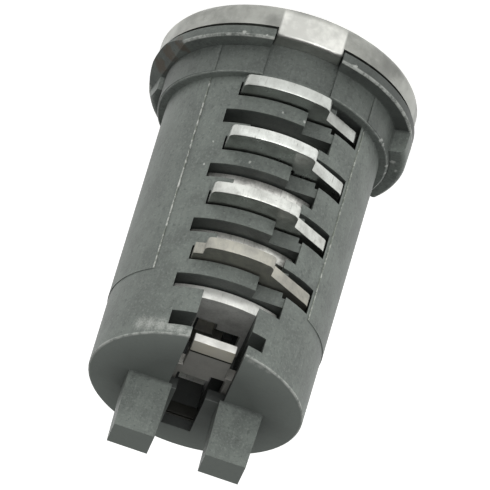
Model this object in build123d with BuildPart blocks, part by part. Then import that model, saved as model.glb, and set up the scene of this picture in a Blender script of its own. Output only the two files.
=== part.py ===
from build123d import *
from math import cos, pi, radians, sin, sqrt, tan
import os

# Wafer lock plug for a caravan hatch, in millimetres.
# The origin is the centre of the face cap's outer face, and +Z runs along the plug to its tail.
# The panel that shows wafers 1, 3, 5 and 7 faces -Y. Angles count anticlockwise from +X, seen from the tail.

# Barrel: its panels lie a little below the side shoes.
barrel_r = 6.76
shoe_step = 0.05
shoe_r = barrel_r + shoe_step
tail_round = 0.12

# Head of the zinc casting.
collar_step = 0.60
collar_r = barrel_r + collar_step
collar_len = 1.98
collar_round = 0.12
rim_reach = 1.05
rim_r = collar_r + rim_reach
rim_gap = 0.22
rim_t = 0.78
rim_round = 0.10

# Face cap, pressed from stainless sheet.
cap_sheet = 0.35
cap_inset = 0.18
cap_r = rim_r - cap_inset
cap_depth = 1.75
cap_round = 0.80
cap_inner_round = cap_round - cap_sheet
cap_clearance = 0.03
tab_w = 4.2
tab_drop = 0.65
tab_round = 0.30
tab_arc = 40.0
tab_recess = 0.20
notch_clearance = 0.10

# Stop segment round the back of the head, and the stop lug at its end.
stop_t = 0.93
stop_draft = 0.41
stop_r = rim_r - stop_draft
stop_round = 0.40
stop_from = 4.0
stop_to = 200.0
lug_t = 1.60
lug_draft = 0.04
lug_r = rim_r - lug_draft
lug_span = 45.5
lug_round = 0.45

# Sloping flat on the left of the rim, where the casting was trimmed.
flat_depth = 0.86
flat_angle = -6.4
flat_edge = 0.03

# Wafers, punched from brass strip and plated.
wafer_count = 8
wafer_t = 0.80
wafer_play = 0.05
wafer_r = barrel_r - wafer_play
wafer_plain = 3.08
wafer_shank = 2.90
wafer_foot = 3.50
foot_top = -3.30
foot_slope = 0.35
crown_end = 2.42
crown_drop = 1.20
ear_out = 4.65
ear_fall = 1.65
ear_t = 1.40
ear_round = 0.45
crown_round = 0.45
foot_round = 0.30
window_half = 1.45
window_top = 4.25
bite_lowest = -4.05
bite_step = 0.35
bite_side_step = 0.65
bite_side_at = 0.10
bites = (2, 4, 1, 3, 2, 3, 1, 2)
rest_lifts = (1.30, 1.75, 1.83, 1.00, 1.53, 1.23, 1.56, 1.17)

# Wafer 7 has a narrow crown with a shoulder on each side.
narrow_wafers = (7,)
narrow_step = 0.57
narrow_drop = 0.85

# Wafer slots across the barrel.
slot_w = 1.00
slot_pitch = 2.01
slot_clearance = 0.10
slot_plain = wafer_plain + slot_clearance
slot_ear = wafer_foot + slot_clearance

# Spring pockets beside the slots, and the relief at their mouth.
pocket_w = 1.73
shank_clearance = 0.05
pocket_in = wafer_shank + shank_clearance
pocket_out = ear_out + slot_clearance
mouth_in = 1.22
mouth_depth = 1.05
spring_floor = -1.00
shoe_margin = 0.22
panel_half = pocket_out + shoe_margin

# Windows that join each even wafer's sunken end to the next slot.
window_plain = -2.50
window_ear = 1.95
window_depth = 2.05
window_floor = barrel_r - window_depth

# Retainer wafer, with a bevelled tongue in the channel.
tongue_half = 1.35
tongue_reach = 5.30
tongue_root = 2.40
bevel_run = 0.80
bevel_drop = 0.25
retainer_plain = 2.63
retainer_shank = 3.00
retainer_window_low = -1.40
retainer_window_step = 0.65
retainer_window_side = 0.50
retainer_window_top = 3.60
retainer_lift = 0.90

# Tail: retainer slot, open channel, end wall and drive tangs.
retainer_gap = 1.70
retainer_side_play = 0.24
retainer_slot_plain = retainer_plain + slot_clearance
retainer_slot_ear = retainer_shank + retainer_side_play
end_wall = 0.74
channel_half = 1.77
channel_floor = 0.15
tang_overhang = 0.25
tang_in = channel_half - tang_overhang
tang_out = 4.33
tang_front = -0.35
tang_back = 2.20
tang_len = 3.85
tang_taper = 1.5
tang_root = 0.60

# Keyway and keyhole.
keyhole_front = 4.20
keyway_half = 1.20
keyway_front_relief = 0.30
keyway_back_relief = 0.50
keyway_front = keyhole_front + keyway_front_relief
keyway_back = keyhole_front + keyway_back_relief
ward_in = 0.68

# Coil springs under the ears.
spring_wire = 0.20
spring_side_gap = 0.13
spring_mean_r = (pocket_w - spring_wire) / 2 - spring_side_gap
spring_at = (pocket_in + pocket_out) / 2
spring_turns = 4
spring_gap = 0.03
coil_steps = 12

# Dust shutter behind the keyhole, hung on a pin along Y.
leaf_t = 0.22
leaf_margin = 0.10
leaf_edge = -keyway_half - leaf_margin
leaf_overlap = 0.35
leaf_half_len = keyhole_front + leaf_overlap
leaf_gap = 0.10
pin_r = 0.25
pin_seat = 0.95
pin_half_len = leaf_half_len + pin_seat
pin_clearance = 0.02
pin_end_gap = 0.05
knuckle_wall = 0.22
knuckle_clearance = 0.03
knuckle_r = pin_r + knuckle_clearance + knuckle_wall
pin_wall = 0.25
pin_x = keyway_half + knuckle_r + pin_wall
pin_z = cap_sheet + leaf_gap + knuckle_r
shutter_room = 0.15
swing_part = 0.72
torsion_wire = 0.10
torsion_gap = 0.08
torsion_mean_r = pin_r + torsion_gap + torsion_wire / 2
torsion_turns = 5
torsion_half_len = 0.90
torsion_leg = 1.70
torsion_end_gap = 0.30
knuckle_gap = torsion_half_len + torsion_end_gap
shutter_gap = 0.02

# Shares of a radius for three flats that follow a quarter round.
middle_flat = 2 - sqrt(2)
side_flat = tan(radians(22.5)) - tan(radians(11.25))

# Places along the plug, worked out from the sizes above.
rim_z0 = cap_depth + rim_gap
rim_z1 = rim_z0 + rim_t
collar_z = rim_z1 + collar_len
pocket_side = (pocket_w - slot_w) / 2
first_slot_z = collar_z + pocket_side
last_slot_z = first_slot_z + slot_pitch * (wafer_count - 1)
shoe_end_z = last_slot_z - pocket_side
retainer_z = last_slot_z + slot_w + retainer_gap
tail_z = retainer_z + slot_w + end_wall
stop_z = rim_z1 + stop_t
lug_z = rim_z1 + lug_t
leaf_under_z = cap_depth + tab_drop - cap_sheet
seat_r = cap_r - cap_sheet - cap_clearance
recess_r = collar_r - tab_recess
flat_reach = rim_r - flat_depth
ear_top = sqrt(wafer_r**2 - crown_end**2) - crown_drop - ear_fall
ear_under = ear_top - ear_t
wafer_inset = (slot_w - wafer_t) / 2
far = 2 * rim_r


def facing(number):
    """1 for a wafer that stands out towards +Y, -1 for one towards -Y."""
    return 1 if number % 2 == 0 else -1


def slot_z(number):
    """Height of the head side of a wafer's slot."""
    return first_slot_z + slot_pitch * (number - 1)


def wafer_plane(height, way):
    """Level plane whose x runs to the wafer's ear and whose y runs the way it stands out."""
    return Plane(origin=(0, 0, height), x_dir=(way, 0, 0), z_dir=(0, 0, 1))


def upright_plane(angle):
    """Plane through the axis, with x outwards at an angle and y along +Z."""
    c, s = cos(radians(angle)), sin(radians(angle))
    return Plane(origin=(0, 0, 0), x_dir=(c, s, 0), z_dir=(s, -c, 0))


def block(x0, x1, y0, y1):
    """Rectangle between two corners, in the sketch at hand."""
    with Locations(((x0 + x1) / 2, (y0 + y1) / 2)):
        Rectangle(x1 - x0, y1 - y0)


def round_corners(sketch, corners, radius):
    """Round the sketch's corners that lie nearest to the given points."""
    fillet([sketch.vertices().sort_by_distance(Vector(*corner, 0))[0] for corner in corners], radius)


def ease_corners(sketch, corners, radius):
    """Break the corners nearest to the given points with three flats that follow a radius."""
    for corner in corners:
        point = Vector(*corner, 0)
        chamfer(sketch.vertices().sort_by_distance(point)[:1], radius * middle_flat)
        chamfer(sketch.vertices().sort_by_distance(point)[:2], radius * side_flat)


def coil_corners(mean_r, length, turns):
    """Corners of a coil of short straight runs about the z axis of its plane."""
    count = turns * coil_steps
    angles = [2 * pi * number / coil_steps for number in range(count + 1)]
    return [
        (mean_r * cos(angle), mean_r * sin(angle), length * number / count)
        for number, angle in enumerate(angles)
    ]


def head_blank():
    """Turned form of the casting: seat, rim, collar and barrel."""
    with BuildSketch(Plane.XZ) as outline:
        with BuildLine():
            Polyline(
                (0, cap_sheet), (seat_r, cap_sheet), (seat_r, rim_z0), (rim_r, rim_z0), (rim_r, rim_z1),
                (collar_r, rim_z1), (collar_r, collar_z), (barrel_r, collar_z), (barrel_r, tail_z),
                (0, tail_z), close=True,
            )
        make_face()
        chamfer(outline.vertices().filter_by(lambda corner: corner.X == rim_r), rim_round)
        chamfer(outline.vertices().sort_by_distance((collar_r, collar_z))[:1], collar_round)
        ease_corners(outline, [(barrel_r, tail_z)], tail_round)
        ease_corners(outline, [(seat_r, cap_sheet)], cap_inner_round + cap_clearance)
    revolve(outline.sketch, axis=Axis.Z)


def stop_ring(angle, arc, low_r, height, corner):
    """Part of a ring under the rim, from an angle through an arc."""
    with BuildSketch(upright_plane(angle)) as outline:
        with BuildLine():
            Polyline(
                (barrel_r, rim_z0 + rim_round), (rim_r, rim_z0 + rim_round), (rim_r, rim_z1),
                (low_r, height), (barrel_r, height), close=True,
            )
        make_face()
        ease_corners(outline, [(low_r, height)], corner)
    revolve(outline.sketch, axis=Axis.Z, revolution_arc=arc)


def rim_flat_cut():
    """Sloping flat across the left of the rim, carried on upright past the stop segment."""
    with BuildSketch(upright_plane(flat_angle)) as trimmed:
        with BuildLine():
            Polyline(
                (rim_r, rim_z0 + flat_edge), (flat_reach, rim_z1), (flat_reach, lug_z),
                (far, lug_z), (far, rim_z0 + flat_edge), close=True,
            )
        make_face()
    extrude(trimmed.sketch, amount=far, both=True, mode=Mode.SUBTRACT)


def cut_boxes(plane, amount, boxes):
    """Cut a set of rectangles, given by their corners, out of the part."""
    with BuildSketch(plane) as cuts:
        for x0, x1, y0, y1 in boxes:
            block(x0, x1, y0, y1)
    extrude(cuts.sketch, amount=amount, mode=Mode.SUBTRACT)


with BuildPart() as plug_body:
    stop_ring(stop_from, stop_to - stop_from, stop_r, stop_z, stop_round)
    stop_ring(stop_to - lug_span, lug_span, lug_r, lug_z, lug_round)
    head_blank()
    rim_flat_cut()

    # Side shoes between the two slotted panels.
    with BuildSketch(Plane.XY.offset(collar_z)):
        Circle(shoe_r)
        Rectangle(2 * panel_half, 2 * far, mode=Mode.SUBTRACT)
    extrude(amount=shoe_end_z - collar_z)

    # The panel runs on over the front of the collar.
    with BuildSketch(Plane.XY.offset(rim_z1)):
        block(-panel_half, panel_half, -far, 0)
        Circle(collar_r - (shoe_r - barrel_r), mode=Mode.SUBTRACT)
    extrude(amount=collar_len, mode=Mode.SUBTRACT)

    # Notches for the cap's two tabs, deeper where the folded leaf lies.
    notch_half = tab_w / 2 + notch_clearance
    for inner_r, low, high in ((seat_r, cap_depth, stop_z), (recess_r, leaf_under_z, collar_z)):
        with BuildSketch(Plane.XY.offset(low)):
            Rectangle(2 * notch_half, 2 * far)
            Circle(inner_r, mode=Mode.SUBTRACT)
        extrude(amount=high - low, mode=Mode.SUBTRACT)

    # Drive tangs, sunk a little into the end wall.
    for way in (-1, 1):
        with BuildSketch(Plane.XY.offset(tail_z - tang_root)):
            block(min(way * tang_in, way * tang_out), max(way * tang_in, way * tang_out), tang_front, tang_back)
        extrude(amount=tang_len + tang_root, taper=tang_taper)

    # Wafer slots, pockets and the windows beside the sunken ends.
    for number in range(1, wafer_count + 1):
        way = facing(number)
        z = slot_z(number)
        cut_boxes(wafer_plane(z, way), slot_w, [(-slot_plain, slot_ear, -far, far)])
        cut_boxes(
            wafer_plane(z - pocket_side, way),
            pocket_w,
            [
                (pocket_in, pocket_out, spring_floor, far),
                (mouth_in, pocket_out, barrel_r - mouth_depth, far),
            ],
        )
        if number < wafer_count:
            cut_boxes(
                wafer_plane(z + slot_w, way),
                slot_pitch - slot_w,
                [
                    (window_plain, window_ear, -far, -window_floor),
                    (mouth_in, slot_plain, barrel_r - mouth_depth, far),
                ],
            )

    # Retainer slot and its spring pocket, which opens at the back as the even ones do.
    cut_boxes(wafer_plane(retainer_z, 1), slot_w, [(-retainer_slot_plain, retainer_slot_ear, -far, far)])
    cut_boxes(
        wafer_plane(retainer_z - pocket_side, 1),
        pocket_w,
        [
            (retainer_slot_ear, pocket_out, spring_floor, far),
            (mouth_in, pocket_out, barrel_r - mouth_depth, far),
        ],
    )

    # Open channel from the last slot to the tail.
    channel_z = last_slot_z + slot_w
    cut_boxes(
        Plane.XY.offset(channel_z), tail_z - channel_z, [(-channel_half, channel_half, -far, channel_floor)]
    )

    # Keyway, with its ward on one side of the back half.
    cut_boxes(
        Plane.XY.offset(cap_sheet),
        tail_z - cap_sheet,
        [
            (-keyway_half, keyway_half, -keyway_front, channel_floor),
            (-ward_in, keyway_half, 0, keyway_back),
        ],
    )

    # Room for the dust shutter and the grooves of its pin.
    leaf_reach = pin_x - leaf_edge
    room_half = leaf_half_len + shutter_room
    room_right = pin_x + knuckle_r + shutter_room
    shallow = swing_part * (leaf_reach + leaf_t)
    cut_boxes(
        Plane.XY.offset(cap_sheet),
        pin_z + shallow - cap_sheet,
        [(leaf_edge - shutter_room, room_right, -room_half, room_half)],
    )
    cut_boxes(
        Plane.XY.offset(cap_sheet),
        pin_z + leaf_reach + shutter_room / 2 - cap_sheet,
        [(-keyway_half, pin_x, -room_half, room_half)],
    )
    groove_r = pin_r + pin_clearance
    groove_half = pin_half_len + pin_end_gap
    with BuildSketch(Plane.XZ.offset(-groove_half)):
        with Locations((pin_x, pin_z)):
            Circle(groove_r)
        block(pin_x - groove_r, pin_x + groove_r, 0, pin_z)
    extrude(amount=2 * groove_half, mode=Mode.SUBTRACT)
plug_body.part.label = "plug_body"


with BuildPart() as cap_tab:
    # The tab runs on from the skirt and folds in under the rim.
    with BuildSketch(upright_plane(-90 - tab_arc / 2)) as tab_outline:
        with BuildLine():
            Polyline(
                (cap_r, cap_depth), (cap_r, cap_depth + tab_drop), (recess_r + cap_clearance, cap_depth + tab_drop),
                (recess_r + cap_clearance, leaf_under_z), (cap_r - cap_sheet, leaf_under_z),
                (cap_r - cap_sheet, cap_depth), close=True,
            )
        make_face()
        ease_corners(tab_outline, [(cap_r, cap_depth + tab_drop)], tab_round)
    revolve(axis=Axis.Z, revolution_arc=tab_arc)
    with BuildSketch():
        Rectangle(tab_w, 2 * far)
    extrude(amount=far, mode=Mode.INTERSECT)


with BuildPart() as face_cap:
    with BuildSketch(Plane.XZ) as cap_outline:
        with BuildLine():
            Polyline(
                (0, 0), (cap_r, 0), (cap_r, cap_depth), (cap_r - cap_sheet, cap_depth),
                (cap_r - cap_sheet, cap_sheet), (0, cap_sheet), close=True,
            )
        make_face()
        ease_corners(cap_outline, [(cap_r, 0)], cap_round)
        ease_corners(cap_outline, [(cap_r - cap_sheet, cap_sheet)], cap_inner_round)
    revolve(axis=Axis.Z)
    add(cap_tab.part)
    add(cap_tab.part, rotation=(0, 0, 180))
    with BuildSketch():
        SlotOverall(2 * keyhole_front, 2 * keyway_half, rotation=90)
    extrude(amount=cap_sheet, mode=Mode.SUBTRACT)
face_cap.part.label = "face_cap"


def on_wafer(x):
    """Height of the wafer's round above its middle, at a place across it."""
    return sqrt(wafer_r**2 - x**2)


def wafer_crown(number):
    """Corner points of a wafer's crown: left shoulder, left end, right end and the foot of the right end."""
    crown_foot = on_wafer(crown_end) - crown_drop
    if number not in narrow_wafers:
        left = (-wafer_plain, on_wafer(wafer_plain))
        return [], left, (crown_end, on_wafer(crown_end)), (crown_end, crown_foot)
    narrow_left = narrow_step - wafer_plain
    narrow_right = crown_end - narrow_step
    slope = ear_fall / (ear_out - crown_end)
    shoulder = [
        (-wafer_plain, on_wafer(wafer_plain) - narrow_drop),
        (narrow_left, on_wafer(narrow_left) - narrow_drop),
    ]
    right_foot = (narrow_right, crown_foot + slope * narrow_step)
    return shoulder, (narrow_left, on_wafer(narrow_left)), (narrow_right, on_wafer(narrow_right)), right_foot


def build_wafer(number):
    """One wafer at its rest height in its slot, ear and window included."""
    way = facing(number)
    shoulder, crown_left, crown_right, crown_foot = wafer_crown(number)
    foot_left = (-wafer_plain, -on_wafer(wafer_plain))
    foot_right = (wafer_foot, -on_wafer(wafer_foot))
    bite = bite_lowest + bite_step * bites[number - 1]
    with BuildPart() as wafer:
        with BuildSketch(wafer_plane(slot_z(number) + wafer_inset, way)) as face:
            with BuildLine():
                ThreePointArc(crown_left, (0, wafer_r), crown_right)
                Polyline(
                    crown_right, crown_foot, (ear_out, ear_top), (ear_out, ear_under), (wafer_shank, ear_under),
                    (wafer_shank, foot_top), (wafer_foot, foot_top - foot_slope), foot_right,
                )
                ThreePointArc(foot_right, (0, -wafer_r), foot_left)
                Polyline(foot_left, *shoulder, crown_left)
            make_face()
            round_corners(face, [crown_left, crown_right], crown_round)
            round_corners(face, [(ear_out, ear_top)], ear_round)
            round_corners(face, [foot_left, foot_right], foot_round)
            with BuildSketch(mode=Mode.PRIVATE) as window:
                block(-window_half, window_half, bite, window_top)
                block(bite_side_at, window_half, bite - bite_side_step, bite)
            add(window.sketch, mode=Mode.SUBTRACT)
        extrude(amount=wafer_t)
    lift = rest_lifts[number - 1] * way
    return wafer.part.moved(Location((0, lift, 0)))


wafers = []
for number in range(1, wafer_count + 1):
    wafer_solid = build_wafer(number)
    wafer_solid.label = f"wafer_{number}"
    wafers.append(wafer_solid)


with BuildPart() as retainer_wafer:
    crown_y = on_wafer(crown_end)
    shoulder_y = on_wafer(retainer_plain)
    with BuildSketch(wafer_plane(retainer_z + wafer_inset, 1)) as retainer_face:
        with BuildLine():
            ThreePointArc((-retainer_plain, shoulder_y), (0, wafer_r), (crown_end, crown_y))
            Polyline(
                (crown_end, crown_y), (crown_end, crown_y - crown_drop), (ear_out, ear_top),
                (ear_out, ear_under), (retainer_shank, ear_under), (retainer_shank, -tongue_root),
                (tongue_half, -tongue_root), (tongue_half, -tongue_reach),
                (-tongue_half, -tongue_reach), (-tongue_half, -tongue_root),
                (-retainer_plain, -tongue_root), (-retainer_plain, shoulder_y),
            )
        make_face()
        round_corners(retainer_face, [(-retainer_plain, shoulder_y), (crown_end, crown_y)], crown_round)
        round_corners(retainer_face, [(ear_out, ear_top)], ear_round)
        with BuildSketch(mode=Mode.PRIVATE) as retainer_window:
            block(-window_half, window_half, retainer_window_low, retainer_window_top)
            block(
                -window_half, -retainer_window_side,
                retainer_window_low - retainer_window_step, retainer_window_low,
            )
        add(retainer_window.sketch, mode=Mode.SUBTRACT)
    extrude(amount=wafer_t)
    # Bevel on the tail side of the tongue's tip.
    tongue_top = retainer_z + wafer_inset + wafer_t
    with BuildSketch(Plane.YZ):
        with BuildLine():
            Polyline(
                (-tongue_reach, tongue_top), (-tongue_reach + bevel_run, tongue_top),
                (-tongue_reach, tongue_top - bevel_drop), close=True,
            )
        make_face()
    extrude(amount=tongue_half, both=True, mode=Mode.SUBTRACT)
retainer_solid = retainer_wafer.part.moved(Location((0, retainer_lift, 0)))
retainer_solid.label = "retainer_wafer"


def build_spring(label, height, way, lift):
    """Coil spring between the pocket's floor and the ear of the wafer at rest."""
    low = spring_floor + spring_gap + spring_wire / 2
    high = ear_under + lift - spring_gap - spring_wire / 2
    with BuildPart() as spring:
        with BuildLine(Plane(origin=(way * spring_at, way * low, height), z_dir=(0, way, 0))) as coil:
            Polyline(*coil_corners(spring_mean_r, high - low, spring_turns))
        path = coil.wires()[0]
        with BuildSketch(Plane(origin=path @ 0, x_dir=(0, 1, 0), z_dir=path % 0)) as wire:
            Rectangle(spring_wire, spring_wire)
        sweep(wire.sketch, path=path, transition=Transition.RIGHT)
    spring.part.label = label
    return spring.part


springs = []
for number in range(1, wafer_count + 1):
    middle_z = slot_z(number) + slot_w / 2
    springs.append(build_spring(f"wafer_spring_{number}", middle_z, facing(number), rest_lifts[number - 1]))
springs.append(build_spring("retainer_spring", retainer_z + slot_w / 2, 1, retainer_lift))


with BuildPart() as shutter_pin:
    with BuildSketch(Plane.XZ.offset(-pin_half_len)):
        with Locations((pin_x, pin_z)):
            Circle(pin_r)
    extrude(amount=2 * pin_half_len)
shutter_pin.part.label = "shutter_pin"


with BuildPart() as dust_shutter:
    leaf_z0 = pin_z - knuckle_r
    for start in (-leaf_half_len, knuckle_gap):
        with BuildSketch(Plane.XZ.offset(start)):
            block(leaf_edge, pin_x, leaf_z0, leaf_z0 + leaf_t)
            with Locations((pin_x, pin_z)):
                Circle(knuckle_r)
                Circle(pin_r + knuckle_clearance, mode=Mode.SUBTRACT)
        extrude(amount=leaf_half_len - knuckle_gap)
    with BuildSketch(Plane.XZ.offset(-knuckle_gap)):
        block(leaf_edge, pin_x - knuckle_r - shutter_room, leaf_z0, leaf_z0 + leaf_t)
    extrude(amount=2 * knuckle_gap)
dust_shutter.part.label = "dust_shutter"


with BuildPart() as shutter_spring:
    with BuildLine(Plane(origin=(pin_x, -torsion_half_len, pin_z), z_dir=(0, 1, 0))) as torsion_coil:
        Polyline(*coil_corners(torsion_mean_r, 2 * torsion_half_len, torsion_turns))
    torsion_path = torsion_coil.wires()[0]
    with BuildSketch(Plane(origin=torsion_path @ 0, x_dir=(0, 1, 0), z_dir=torsion_path % 0)):
        Rectangle(torsion_wire, torsion_wire)
    sweep(path=torsion_path, transition=Transition.RIGHT)
    leaf_touch = leaf_z0 + leaf_t + torsion_wire / 2 + shutter_gap
    wall_touch = room_right - torsion_wire / 2 - shutter_gap
    leg_ends = (
        (torsion_path @ 0, Vector(wall_touch, -torsion_half_len, pin_z + torsion_leg)),
        (torsion_path @ 1, Vector(pin_x - torsion_leg, torsion_half_len, leaf_touch)),
    )
    for start, end in leg_ends:
        with BuildSketch(Plane(origin=start, x_dir=(0, 1, 0), z_dir=end - start)):
            Rectangle(torsion_wire, torsion_wire)
        extrude(amount=(end - start).length)
shutter_spring.part.label = "shutter_spring"


os.makedirs("parts", exist_ok=True)
single_pieces = (plug_body, face_cap, shutter_pin, dust_shutter, shutter_spring)
for solid in [piece.part for piece in single_pieces] + wafers + [retainer_solid] + springs:
    export_step(solid, f"parts/{solid.label}.step")
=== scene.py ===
"""Looks of a wafer lock plug for a caravan hatch: finishes, springs, casting marks, camera and light."""

import logging
import math
from dataclasses import dataclass
from enum import Enum

import bpy
from mathutils import Matrix, Vector


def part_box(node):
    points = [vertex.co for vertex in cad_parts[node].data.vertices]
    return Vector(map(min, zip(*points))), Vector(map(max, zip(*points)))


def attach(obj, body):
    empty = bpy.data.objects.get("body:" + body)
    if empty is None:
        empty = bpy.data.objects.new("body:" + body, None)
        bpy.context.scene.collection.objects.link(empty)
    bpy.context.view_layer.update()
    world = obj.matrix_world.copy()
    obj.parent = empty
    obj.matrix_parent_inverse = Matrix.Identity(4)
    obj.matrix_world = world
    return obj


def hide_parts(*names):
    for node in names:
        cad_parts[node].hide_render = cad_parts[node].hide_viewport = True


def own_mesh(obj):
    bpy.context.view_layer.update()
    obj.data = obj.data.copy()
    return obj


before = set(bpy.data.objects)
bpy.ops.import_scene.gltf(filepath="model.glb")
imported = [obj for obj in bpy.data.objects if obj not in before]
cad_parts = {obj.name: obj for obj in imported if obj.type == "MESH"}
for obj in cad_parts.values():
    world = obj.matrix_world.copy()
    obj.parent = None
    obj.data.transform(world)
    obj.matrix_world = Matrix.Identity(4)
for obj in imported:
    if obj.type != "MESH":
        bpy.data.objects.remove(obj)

logging.basicConfig(level=logging.INFO, format="%(message)s")
log = logging.getLogger("plug")

MM = 0.001
PHOTO_PX = 490

# How far each wafer is lifted at rest, and the travels beyond that and of the retainer, in mm.
REST_LIFT_MM = (1.30, 1.75, 1.83, 1.00, 1.53, 1.23, 1.56, 1.17)
EXTRA_TRAVEL_MM = 0.5
RETAINER_TRAVEL_MM = 0.9

# Sizes of the solids that the looks follow, in mm.
LEAF_MM = 0.22
BARREL_R = 6.76
COLLAR_Z = 4.73
SHOE_END_Z = 18.8
FLASH_START = 0.1
TAB_HALF = 2.1
KEYWAY_BACK = 1.5
BEVEL_FOOT = 3.45

# Faces round a wire, and steps in each turn of a coil.
WIRE_SIDES = 8
TURN_STEPS = 14


class Slot(Enum):
    """Material slots of the record, by name; each worked copy holds one, but nothing reads it."""

    ZINC = "zinc"
    STAINLESS = "stainless"
    PLATE = "plated_brass"
    WIRE = "spring_steel"


# ---------------------------------------------------------------- small helpers


def linear(hex_colour: str) -> tuple[float, float, float, float]:
    """Turn an sRGB hex colour into Blender's linear values.

    Args:
        hex_colour: colour such as "#6e706e".

    Returns:
        Red, green, blue and an alpha of 1.
    """
    parts = [int(hex_colour[i : i + 2], 16) / 255 for i in (1, 3, 5)]
    lin = [p / 12.92 if p <= 0.04045 else ((p + 0.055) / 1.055) ** 2.4 for p in parts]
    return lin[0], lin[1], lin[2], 1.0


def add_node(
    tree: bpy.types.NodeTree, kind: str, inputs: dict | None = None, **settings: object
) -> bpy.types.Node:
    """Add one shader node with its settings, values and links.

    Args:
        tree: node tree that takes the node.
        kind: type of the node after "ShaderNode".
        inputs: socket name or number to a value, a hex colour, an output socket, or a node whose first
            output in use is linked.
        settings: properties of the node.

    Returns:
        The new node.
    """
    node = tree.nodes.new("ShaderNode" + kind)
    for key, value in settings.items():
        setattr(node, key, value)
    for key, value in (inputs or {}).items():
        if isinstance(key, int):
            socket = node.inputs[key]
        else:
            socket = next(s for s in node.inputs if s.enabled and s.name == key)
        if isinstance(value, bpy.types.Node):
            value = next(out for out in value.outputs if out.enabled)
        if isinstance(value, bpy.types.NodeSocket):
            tree.links.new(value, socket)
        else:
            socket.default_value = linear(value) if isinstance(value, str) else value
    return node


def deselect_all() -> None:
    """Leave nothing selected, in object mode."""
    if bpy.context.object and bpy.context.object.mode != "OBJECT":
        bpy.ops.object.mode_set(mode="OBJECT")
    bpy.ops.object.select_all(action="DESELECT")


def activate(obj: bpy.types.Object) -> None:
    """Select one object alone and make it the active one."""
    deselect_all()
    obj.select_set(True)
    bpy.context.view_layer.objects.active = obj


def apply_place(obj: bpy.types.Object) -> None:
    """Move an object's place, turn and scale into its mesh."""
    activate(obj)
    bpy.ops.object.transform_apply(location=True, rotation=True, scale=True)


def apply_modifier(obj: bpy.types.Object, kind: str, **settings: object) -> None:
    """Add a modifier with its settings and apply it.

    Args:
        obj: object that takes the modifier.
        kind: Blender's name of the modifier type.
        settings: properties of the modifier.
    """
    activate(obj)
    modifier = obj.modifiers.new(kind.title(), kind)
    for key, value in settings.items():
        setattr(modifier, key, value)
    bpy.ops.object.modifier_apply(modifier=modifier.name)


def polar(radius: float, angle: float, height: float) -> Vector:
    """Point at a radius and height in mm and an angle in degrees, in mm."""
    a = math.radians(angle)
    return Vector((radius * math.cos(a), radius * math.sin(a), height))


def dress(obj: bpy.types.Object, *materials: bpy.types.Material) -> None:
    """Give a piece its materials, in the order of its faces' material numbers."""
    obj.data.materials.clear()
    for material in materials:
        obj.data.materials.append(material)


def report_piece(obj: bpy.types.Object) -> None:
    """Log a piece and its number of triangles."""
    triangles = sum(len(face.vertices) - 2 for face in obj.data.polygons)
    log.info("%s: %d triangles", obj.name, triangles)


# ---------------------------------------------------------------- finishes


@dataclass(frozen=True)
class Spot:
    """A place in mm where the surface is scraped bright or stained."""

    angle: float
    height: float
    radius: float
    size: float


@dataclass(frozen=True)
class EdgeRing:
    """A round edge about the plug's axis that is knocked bright and painted with the highlight it catches,
    in mm.
    """

    radius: float
    height: float
    width: float


class Shading:
    """A new material whose nodes read the piece's own coordinates in millimetres."""

    # Reach of the tears and the limit against it, as shares of a spot's size.
    TEAR_REACH = 2.4
    TEAR_LIMIT = 2.1

    def __init__(self, name: str) -> None:
        """Start the material with its shader.

        Args:
            name: name of the finish.
        """
        self.material = bpy.data.materials.new(name)
        self.material.use_nodes = True
        self.tree = self.material.node_tree
        self.tree.nodes.clear()
        place = self.add("TexCoord")
        self.mm = self.add("VectorMath", {0: place.outputs["Object"], "Scale": 1 / MM}, operation="SCALE")

    def add(self, kind: str, inputs: dict | None = None, **settings: object) -> bpy.types.Node:
        """Add a node to this material; the arguments are those of add_node."""
        return add_node(self.tree, kind, inputs, **settings)

    def radius(self) -> bpy.types.Node:
        """Distance from the plug's axis, in mm."""
        flat = self.add("VectorMath", {0: self.mm, 1: (1.0, 1.0, 0.0)}, operation="MULTIPLY")
        return self.add("VectorMath", {0: flat}, operation="LENGTH")

    def along(self, axis: str) -> bpy.types.NodeSocket:
        """Place along one axis, in mm."""
        return self.add("SeparateXYZ", {0: self.mm}).outputs[axis]

    def facing_tail(self) -> bpy.types.Node:
        """Mask that is 1 where the surface faces the tail."""
        turned = self.add("SeparateXYZ", {0: self.add("NewGeometry").outputs["Normal"]}).outputs["Z"]
        return self.add("Math", {0: turned, 1: 0.7}, operation="GREATER_THAN")

    def torn_spots(
        self, places: tuple[Spot, ...], tear_mm: float = 0.18, soft: float = 0.4
    ) -> bpy.types.Node:
        """Mask that is 1 inside the given spots, with torn edges.

        Args:
            places: the spots.
            tear_mm: size of the tears.
            soft: share of a spot's size over which it fades.

        Returns:
            The node that gives the mask, from 0 to 1.
        """
        torn = self.add(
            "TexNoise", {"Vector": self.mm, "Scale": 1 / tear_mm, "Detail": 4.0, "Roughness": 0.7}
        )
        mask = self.add("Value")
        mask.outputs[0].default_value = 0.0
        for spot in places:
            centre = polar(spot.radius, spot.angle, spot.height)
            away = self.add("VectorMath", {0: self.mm, 1: centre}, operation="DISTANCE")
            reach = spot.size * self.TEAR_REACH
            ragged = self.add("Math", {0: torn, 1: reach, 2: away}, operation="MULTIPLY_ADD")
            edge = spot.size * self.TEAR_LIMIT
            inside = self.add(
                "MapRange", {"Value": ragged, "From Min": edge, "From Max": edge - spot.size * soft}
            )
            mask = self.add("Math", {0: mask, 1: inside}, operation="MAXIMUM")
        return mask

    def finish(self, **values: object) -> bpy.types.Material:
        """Add the shader with its values and the output.

        Args:
            values: the shader's sockets, with underscores for the blanks in their names.

        Returns:
            The finished material.
        """
        named = {key.replace("_", " "): value for key, value in values.items()}
        self.add("OutputMaterial", {"Surface": self.add("BsdfPrincipled", named)})
        return self.material


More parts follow.
